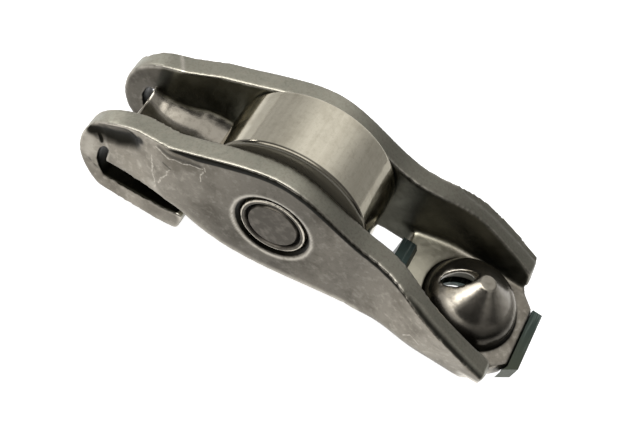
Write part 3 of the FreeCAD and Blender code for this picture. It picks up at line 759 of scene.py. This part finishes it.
def arm_points(places, normals, edges, looks):
    """The arm's points in millimetres, with the regions that its finish follows."""
    at = SimpleNamespace(edges=edges, forward=normals[:, 0], upward=normals[:, 2])
    at.x, at.y, at.z = x, y, z = places.T
    at.curve = spread(bulge(places, normals, edges), edges, 2) * 4 / (looks.grain_size / MM) ** 2
    at.upper = rim_distance(places, normals)
    at.lower = foot_distance(places, normals, edges, at.curve)
    at.outward = normals[:, 1] * np.sign(y)
    at.pivot = np.hypot(x - PIVOT_X / MM, y)
    at.web = (x > WEB_START) & (np.abs(y) < WEB_HALF) & (z < WEB_TOP)
    at.dome = (at.pivot < DOME_RADIUS) & (z > DOME_BASE)
    at.pad = (x < PAD_END) & (np.abs(y) < by_place(x, WALL_HALVES) - 0.2) & (z < PAD_TOP)
    at.cut = eased(0.75 - np.abs(normals[:, 1]), 0.0, 0.35) * ~(at.web | at.dome | at.pad)
    return at


def rim_mask(at):
    """Where the step is pressed along the rims at the pivot end."""
    width = by_place(at.x, RIM_WIDTHS)
    rim = eased(width - at.upper, 0.0, 0.3) * (at.cut > 0.3)
    rim = rim * (np.abs(at.y) > WALL_OUTSIDE) * (at.upward > 0.2)
    return spread(rim, at.edges, 3)


def hook_shade_mask(at):
    """The sheared faces between the hooks and the walls, painted dark as shade."""
    x, z = at.x, at.z
    ends = (at.forward > 0.3) & (z < -2.8) & (x < -14)
    floors = (at.upward > 0.3) & (z < -5.5)
    hook_shade = (at.cut > 0.5) & (x > -20.3) & (x < -9.2) & (np.abs(at.y) > 3.4) & (ends | floors)
    return spread(hook_shade * 1.0, at.edges, 1)


def painted_shade(at, rim, hook_shade):
    """Painted shade below the near rim, round the dome's foot, at the pin's bores and in the hooks."""
    near_wall = at.y < 0
    # Painted shade: the dark line below the rim beside the roller
    width = by_place(at.x, LINE_WIDTHS)
    line = eased(width - at.upper, -0.08, 0.2) * eased(at.upper, 0.04, 0.22)
    line = line * (at.outward > 0.55) * (at.z > -3) * near_wall
    # Painted shade round the dome's foot, in the grooves at the pin's bores, on the near rim's step and
    # in the hooks
    foot = eased(0.35 - np.abs(at.pivot - DOME_FOOT_RADIUS), 0.0, 0.3)
    foot = foot * (np.abs(at.z - DOME_FOOT_LEVEL) < 0.8)
    bore = eased(0.24 - np.abs(np.hypot(at.x, at.z) - BORE_EDGE_RADIUS), 0.0, 0.12)
    bore = bore * (np.abs(at.y) > 5.5)
    shade = np.maximum.reduce([line, rim * near_wall * 0.45, foot * 0.8, bore, hook_shade])
    return np.clip(spread(shade, at.edges, 2), 0, 1)


def wear_and_highlight(at, hook_shade):
    """How far the corners are rubbed bright, partly as painted highlight and painted reflection."""
    x, y = at.x, at.y
    # Painted highlight on the lips of the pin's bores
    lip_highlight = eased(0.22 - np.abs(np.hypot(x, at.z) - BORE_LIP_RADIUS), 0.0, 0.2) * (at.outward > 0.6)
    # Painted reflection of the floor along the lower corners
    foot = eased(1.0 - at.lower, 0.0, 1.0) * by_place(x, LOWER_REFLECTION) * (at.outward > 0.2)
    # A coining mark across the far wall's rim
    crease = eased(0.16 - np.abs(x + 16.2 + 0.6 * (y - 3.5)), 0.0, 0.1)
    crease = crease * (y > 3.3) * (at.upward > 0.5)
    hooks = (x < -11) & (at.upward < -0.1)
    # The bright line along the upper corners is worn edge and partly painted highlight
    share = np.where(at.upper < 0.3, by_place(x, UPPER_WEAR_AND_HIGHLIGHT), np.where(hooks, 0.15, 0.8))
    corners = eased(at.curve, 1.1, 3.3) * share
    worn_and_highlight = spread(np.maximum.reduce([corners, lip_highlight * 0.7, foot, crease]), at.edges, 1)
    return worn_and_highlight * (1 - hook_shade)


def tones(at):
    """How light the steel is in each region."""
    x, y, pivot = at.x, at.y, at.pivot
    cut = by_place(x, CUT_TONES)
    cut = cut * np.where(y > 0, by_place(x, FAR_CUT_SHARES), 1)
    # Painted shade on the dome's front and round its front foot, and a painted highlight streak on one
    # side
    front_shade = eased(-y / (pivot + 0.01), 0.1, 0.7)
    turn = np.degrees(np.arctan2(y, x - PIVOT_X / MM))
    highlight_streak = eased(16 - np.abs(turn + 125), 0, 10) * eased(pivot, 0.5, 1.2) * eased(4.0 - pivot, 0, 0.8)
    foot = 1 - 0.55 * eased(pivot, 3.5, 4.2) * eased(-y, -1.0, 1.0)
    dome = (1 - 0.55 * front_shade * eased(pivot, 1.5, 3.6) + 1.2 * highlight_streak) * foot
    inward = at.outward < -0.5
    # The lobe is the inner side of the far wall's round end, darkened as painted shade
    lobe = (x < -17) & (y > 0) & inward
    walls = inward & (np.abs(y) > WALL_INSIDE)
    # The lobe, pad, inner walls and web take tones of painted light and shade
    regions = [lobe, at.dome, at.pad, walls, at.web, at.cut > 0.5]
    values = [LOBE_SHADE_TONE, dome, by_place(x, PAD_TONES), by_place(x, INNER_TONES),
              by_place(x, WEB_TONES), cut]
    return spread(np.select(regions, values, by_place(x, FACE_TONES)), at.edges, 3)


def mark_arm(mesh, looks):
    """Shape the pad's bends, the rims' step, the dome's tip and the hooks, then store what the
    material reads: cut edges, inner faces, painted shade, wear with painted highlight, painted
    shade in creases, coined faces and tones."""
    places, normals, edges = point_arrays(mesh)
    bend_pad(places, normals, looks)
    at = arm_points(places, normals, edges, looks)
    rim = rim_mask(at)
    at.z -= rim * looks.rim_step / MM
    tip = at.z[at.dome].max() - looks.tip_flat / MM
    at.z[at.dome] = np.minimum(at.z[at.dome], tip)
    hook_shade = hook_shade_mask(at)
    store(mesh, "shade", painted_shade(at, rim, hook_shade))
    store(mesh, "worn_and_highlight", wear_and_highlight(at, hook_shade))
    ease_hooks(places)
    mesh.vertices.foreach_set("co", (places * MM).astype(np.float32).ravel())
    mesh.update()
    # Painted shade on the faces between the walls
    inside = eased(-at.outward, 0.5, 0.8) * (np.abs(at.y) > WALL_INSIDE) * (at.x > -18.4)
    # Painted light on the web's left part
    web = eased(19.5 - at.x, 0, 5) * (at.web & ~at.dome & (at.upward > 0.6))
    store(mesh, "cut_edge", spread(at.cut, edges, 1))
    store(mesh, "inside", spread(inside, edges, 2))
    # Painted shade in concave creases
    store(mesh, "crease_shade", spread(eased(-at.curve, 0.9, 3.3), edges, 4))
    store(mesh, "coined", spread(np.where(at.dome | at.pad, 1.0, 0.0), edges, 3))
    store(mesh, "web", spread(web, edges, 2) * 0.8)
    store(mesh, "tone", tones(at))
    store(mesh, "near_face", eased(-normals[:, 1], 0.15, 0.5) * (at.y < -3.5))


class FOLLOWER_OT_arm(bpy.types.Operator):
    """Dress the pressed arm with tumbled edges and steel faces"""
    bl_idname = "follower.arm"
    bl_label = "Pressed Arm"

    def execute(self, context):
        looks = context.scene.follower_arm
        copy = merged_copy("arm_body", 1 / MM)
        remesh = copy.modifiers.new("tumbled_skin", "REMESH")
        remesh.mode = "VOXEL"
        remesh.voxel_size = looks.grain_size / MM
        rounding = copy.modifiers.new("tumbled_edges", "SMOOTH")
        rounding.factor = 0.5
        rounding.iterations = looks.edge_passes
        mesh = evaluated_mesh(copy)
        mesh.transform(Matrix.Scale(MM, 4))
        if not mesh.polygons:
            raise RuntimeError("the arm's surface came out empty")
        arm = finish_mesh("pressed_arm", mesh, pressed_steel(looks))
        mark_arm(arm.data, looks)
        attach(arm, "arm")
        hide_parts("arm_body")
        return {"FINISHED"}


class FOLLOWER_OT_roller(bpy.types.Operator):
    """Turn the ground cam roller"""
    bl_idname = "follower.roller"
    bl_label = "Cam Roller"

    def execute(self, context):
        looks = context.scene.follower_roller
        radius, half = ROLLER_HIGH.x, ROLLER_HIGH.y
        race, edge = looks.race_radius, looks.edge
        section = [(radius, half, edge), (race, half, edge / 2),
                   (race, -half, edge / 2), (radius, -half, edge)]
        roller = lathe("ground_roller", section, looks.segments, ground_steel(looks), closed=True)
        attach(roller, "roller")
        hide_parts("cam_roller")
        return {"FINISHED"}


class FOLLOWER_OT_pin(bpy.types.Operator):
    """Turn the pin with its staked ends"""
    bl_idname = "follower.pin"
    bl_label = "Roller Pin"

    def execute(self, context):
        looks = context.scene.follower_pin
        radius, end = PIN_HIGH.x, PIN_HIGH.y
        outer = looks.stake_radius
        inner = outer - looks.stake_width
        fine = looks.edge / 3
        middle = (inner + outer) / 2
        half = [(0.0, end, 0.0), (inner, end, fine), (middle, end - looks.stake_depth, fine / 2),
                (outer, end, fine), (radius, end, looks.edge)]
        other = [(reach, -along, rounding) for reach, along, rounding in reversed(half)]
        pin = lathe("staked_pin", half + other, looks.segments, pin_steel(looks))
        places, _, _ = point_arrays(pin.data)
        away = np.abs(np.hypot(places[:, 0], places[:, 2]) - middle / MM)
        store(pin.data, "stake", eased(looks.stake_width / MM / 2 - away, 0.0, 0.15))
        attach(pin, "arm")
        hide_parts("roller_pin")
        return {"FINISHED"}


def needle_ring():
    """Geometry nodes: a row of needles, each the input mesh, spaced evenly round the pin."""
    tree, given = new_group("needle_ring", "GeometryNodeTree", {
        "Needle": "Geometry", "Count": "Int", "Pitch Radius": "Float", "Material": "Material"},
        {"Needles": "Geometry"})
    circle = add_node(tree, "GeometryNodeMeshCircle", {
        "Vertices": given["Count"], "Radius": given["Pitch Radius"]}).outputs[0]
    ring = add_node(tree, "GeometryNodeTransform", {
        "Geometry": circle, "Rotation": (math.radians(90), 0, 0)}).outputs[0]
    placed = add_node(tree, "GeometryNodeInstanceOnPoints", {
        "Points": ring, "Instance": given["Needle"]}).outputs[0]
    solid = add_node(tree, "GeometryNodeRealizeInstances", {"Geometry": placed}).outputs[0]
    shown = add_node(tree, "GeometryNodeSetMaterial", {
        "Geometry": solid, "Material": given["Material"]}).outputs[0]
    add_node(tree, "NodeGroupOutput", {"Needles": shown})
    return tree


class FOLLOWER_OT_needles(bpy.types.Operator):
    """Set the row of needles round the pin"""
    bl_idname = "follower.needles"
    bl_label = "Needle Row"

    def execute(self, context):
        looks = context.scene.follower_needles
        material = ground_steel(context.scene.follower_roller)
        radius = (NEEDLE_HIGH.x - NEEDLE_LOW.x) / 2
        pitch = (NEEDLE_HIGH.x + NEEDLE_LOW.x) / 2
        end = NEEDLE_HIGH.y
        section = [(0.0, end, 0.0), (radius, end, looks.end_radius),
                   (radius, -end, looks.end_radius), (0.0, -end, 0.0)]
        needle = lathe("needle_blank", section, looks.segments, material)
        modifier = needle.modifiers.new("needle_ring", "NODES")
        modifier.node_group = needle_ring()
        inputs = {"Count": looks.count, "Pitch Radius": pitch, "Material": material}
        for item in modifier.node_group.interface.items_tree:
            if item.name in inputs:
                modifier[item.identifier] = inputs[item.name]
        row = finish_mesh("needle_row", evaluated_mesh(needle), material)
        if len(row.data.polygons) < looks.count:
            raise RuntimeError("the needle row came out empty")
        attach(row, "needle_row")
        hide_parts(*NEEDLES)
        return {"FINISHED"}


class FOLLOWER_OT_clip(bpy.types.Operator):
    """Dress the retaining clip with soft edges and dark oxide"""
    bl_idname = "follower.clip"
    bl_label = "Retaining Clip"

    def execute(self, context):
        looks = context.scene.follower_clip
        copy = merged_copy("retaining_clip")
        form = bmesh.new()
        form.from_mesh(copy.data)
        bmesh.ops.dissolve_limit(form, angle_limit=math.radians(1), verts=form.verts, edges=form.edges)
        form.to_mesh(copy.data)
        form.free()
        bevel = copy.modifiers.new("soft_edges", "BEVEL")
        bevel.width = looks.edge
        bevel.segments = 3
        bevel.limit_method = "ANGLE"
        bevel.angle_limit = math.radians(25)
        mesh = evaluated_mesh(copy)
        clip = finish_mesh("spring_clip", mesh, spring_steel(looks))
        weighted = clip.modifiers.new("flat_shading", "WEIGHTED_NORMAL")
        weighted.keep_sharp = True
        x, y, _ = point_arrays(mesh)[0].T
        bent_end = eased(CLIP_LOW.y / MM + BENT_END_WIDTH - y, 0.0, 0.3)
        store(mesh, "sheared", bent_end * (x > CLIP_HIGH.x / MM - BENT_END_LENGTH))
        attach(clip, "arm")
        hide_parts("retaining_clip")
        return {"FINISHED"}


# Stage
def pale_floor(looks):
    """Matt card: pale, white where the camera or a reflection sees it, dimmer at the back,
    and it keeps the object's shadow."""
    material, tree, place = new_material("pale_card")
    path = add_node(tree, "ShaderNodeLightPath").outputs
    seen = number_math(tree, "MAXIMUM", path["Is Camera Ray"], path["Is Transmission Ray"])
    # The mirrored white fades from 10 mm to 60 mm behind the object
    behind = coordinate(tree, place, "Y")
    fading = graded(tree, behind, 10.0, 60.0, looks.mirror_glow, 0.0)
    mirrored = product(tree, path["Is Glossy Ray"], fading)
    glow = number_math(tree, "MAXIMUM", product(tree, seen, looks.floor_glow), mirrored)
    shader = add_node(tree, "ShaderNodeBsdfPrincipled", {
        "Base Color": looks.floor, "Roughness": 0.9, "Specular IOR Level": 0.0,
        "Emission Color": (1, 1, 1, 1), "Emission Strength": glow})
    add_node(tree, "ShaderNodeOutputMaterial", {"Surface": shader.outputs[0]})
    return material


def room(looks):
    """A plain room: bright at the back and dimmer to both sides, dark in front, with a bright
    strip overhead that is strongest on the left, and white where the camera looks past the floor."""
    world = bpy.data.worlds.new("plain_room")
    world.use_nodes = True
    tree = world.node_tree
    tree.nodes.clear()
    direction = add_node(tree, "ShaderNodeTexCoord").outputs["Generated"]
    axes = add_node(tree, "ShaderNodeSeparateXYZ", {0: direction}).outputs
    back = graded(tree, axes["Y"], -0.1, 0.3, looks.front_light, looks.back_light)
    back = product(tree, back, graded(tree, axes["X"], 0.05, 0.7, 1.0, looks.right_share))
    back = product(tree, back, graded(tree, axes["X"], -0.8, -0.2, looks.left_share, 1.0))
    roof = product(tree, graded(tree, axes["Y"], -0.62, -0.5), graded(tree, axes["Y"], 0.12, 0.02))
    roof = product(tree, roof, graded(tree, axes["Z"], 0.3, 0.45))
    leftward = graded(tree, axes["X"], 0.3, -0.1, looks.roof_light * 0.15, looks.roof_light)
    roof = product(tree, roof, leftward)
    camera = add_node(tree, "ShaderNodeLightPath").outputs["Is Camera Ray"]
    strength = number_math(tree, "MAXIMUM", camera, number_math(tree, "MAXIMUM", back, roof))
    light = add_node(tree, "ShaderNodeBackground", {"Color": (1, 1, 1, 1), "Strength": strength})
    add_node(tree, "ShaderNodeOutputWorld", {"Surface": light.outputs[0]})
    bpy.context.scene.world = world


# The lamp on the left: direction from the object, distance and side in metres, and watts
LAMP_DIRECTION, LAMP_DISTANCE, LAMP_SIDE, LAMP_POWER = (-0.9, 0.42, 0.17), 0.50, 0.06, 0.16


def soft_lamp():
    """A square lamp that looks at the object."""
    data = bpy.data.lights.new("left", "AREA")
    data.shape = "SQUARE"
    data.size = LAMP_SIDE
    data.energy = LAMP_POWER
    lamp = add_object("left", data)
    towards = Vector(LAMP_DIRECTION).normalized()
    lamp.location = towards * LAMP_DISTANCE
    lamp.rotation_euler = towards.to_track_quat("Z", "Y").to_euler()


def place_camera(looks):
    """The camera at the photograph's angle, rolled about its view."""
    flat = math.cos(looks.elevation)
    ahead = Vector((flat * math.sin(looks.azimuth), flat * math.cos(looks.azimuth),
                    -math.sin(looks.elevation)))
    level = ahead.cross(Vector((0, 0, 1))).normalized()
    upright = level.cross(ahead)
    right = level * math.cos(looks.roll) + upright * math.sin(looks.roll)
    up = upright * math.cos(looks.roll) - level * math.sin(looks.roll)
    turn = Matrix((right, up, -ahead)).transposed().to_4x4()
    data = bpy.data.cameras.new("camera")
    data.lens = looks.lens
    data.sensor_width = 36.0
    data.clip_start = 0.01
    camera = add_object("camera", data)
    camera.matrix_world = Matrix.Translation(Vector(looks.aim) - ahead * looks.distance) @ turn
    bpy.context.scene.camera = camera


class FOLLOWER_OT_stage(bpy.types.Operator):
    """Set the floor, lamp, room and camera"""
    bl_idname = "follower.stage"
    bl_label = "Stage"

    def execute(self, context):
        looks = context.scene.follower_stage
        half = looks.floor_size / 2
        low = CAD_BOX[0].z
        mesh = bpy.data.meshes.new("floor")
        corners = [(-half, -half, low), (half, -half, low), (half, half, low), (-half, half, low)]
        mesh.from_pydata(corners, [], [(0, 1, 2, 3)])
        floor = finish_mesh("floor", mesh, pale_floor(looks), smooth=False)
        room(looks)
        soft_lamp()
        place_camera(looks)
        context.scene.view_settings.view_transform = "Standard"
        return {"FINISHED"}


OPERATORS = (FOLLOWER_OT_arm, FOLLOWER_OT_roller, FOLLOWER_OT_pin, FOLLOWER_OT_needles,
             FOLLOWER_OT_clip, FOLLOWER_OT_stage)
SETTINGS = {
    "follower_arm": ArmLooks,
    "follower_roller": RollerLooks,
    "follower_pin": PinLooks,
    "follower_needles": NeedleLooks,
    "follower_clip": ClipLooks,
    "follower_stage": StageLooks,
}


class FOLLOWER_PT_panel(bpy.types.Panel):
    """The follower's pieces and their settings"""
    bl_label = "Follower"
    bl_idname = "FOLLOWER_PT_panel"
    bl_space_type = "VIEW_3D"
    bl_region_type = "UI"
    bl_category = "Follower"

    def draw(self, context):
        for operator, settings in zip(OPERATORS, SETTINGS):
            looks = getattr(context.scene, settings)
            box = self.layout.box()
            box.operator(operator.bl_idname)
            for name in type(looks).__annotations__:
                box.prop(looks, name)


def register():
    """Register the classes and hang their settings on the scene."""
    for name, settings in SETTINGS.items():
        bpy.utils.register_class(settings)
        setattr(bpy.types.Scene, name, PointerProperty(type=settings))
    for operator in OPERATORS:
        bpy.utils.register_class(operator)
    bpy.utils.register_class(FOLLOWER_PT_panel)


def unregister():
    """Take the classes and settings away again."""
    bpy.utils.unregister_class(FOLLOWER_PT_panel)
    for operator in reversed(OPERATORS):
        bpy.utils.unregister_class(operator)
    for name, settings in SETTINGS.items():
        delattr(bpy.types.Scene, name)
        bpy.utils.unregister_class(settings)


def main():
    """Make every piece and the stage."""
    register()
    for operator in OPERATORS:
        category, name = operator.bl_idname.split(".")
        getattr(getattr(bpy.ops, category), name)()


if __name__ == "__main__":
    main()
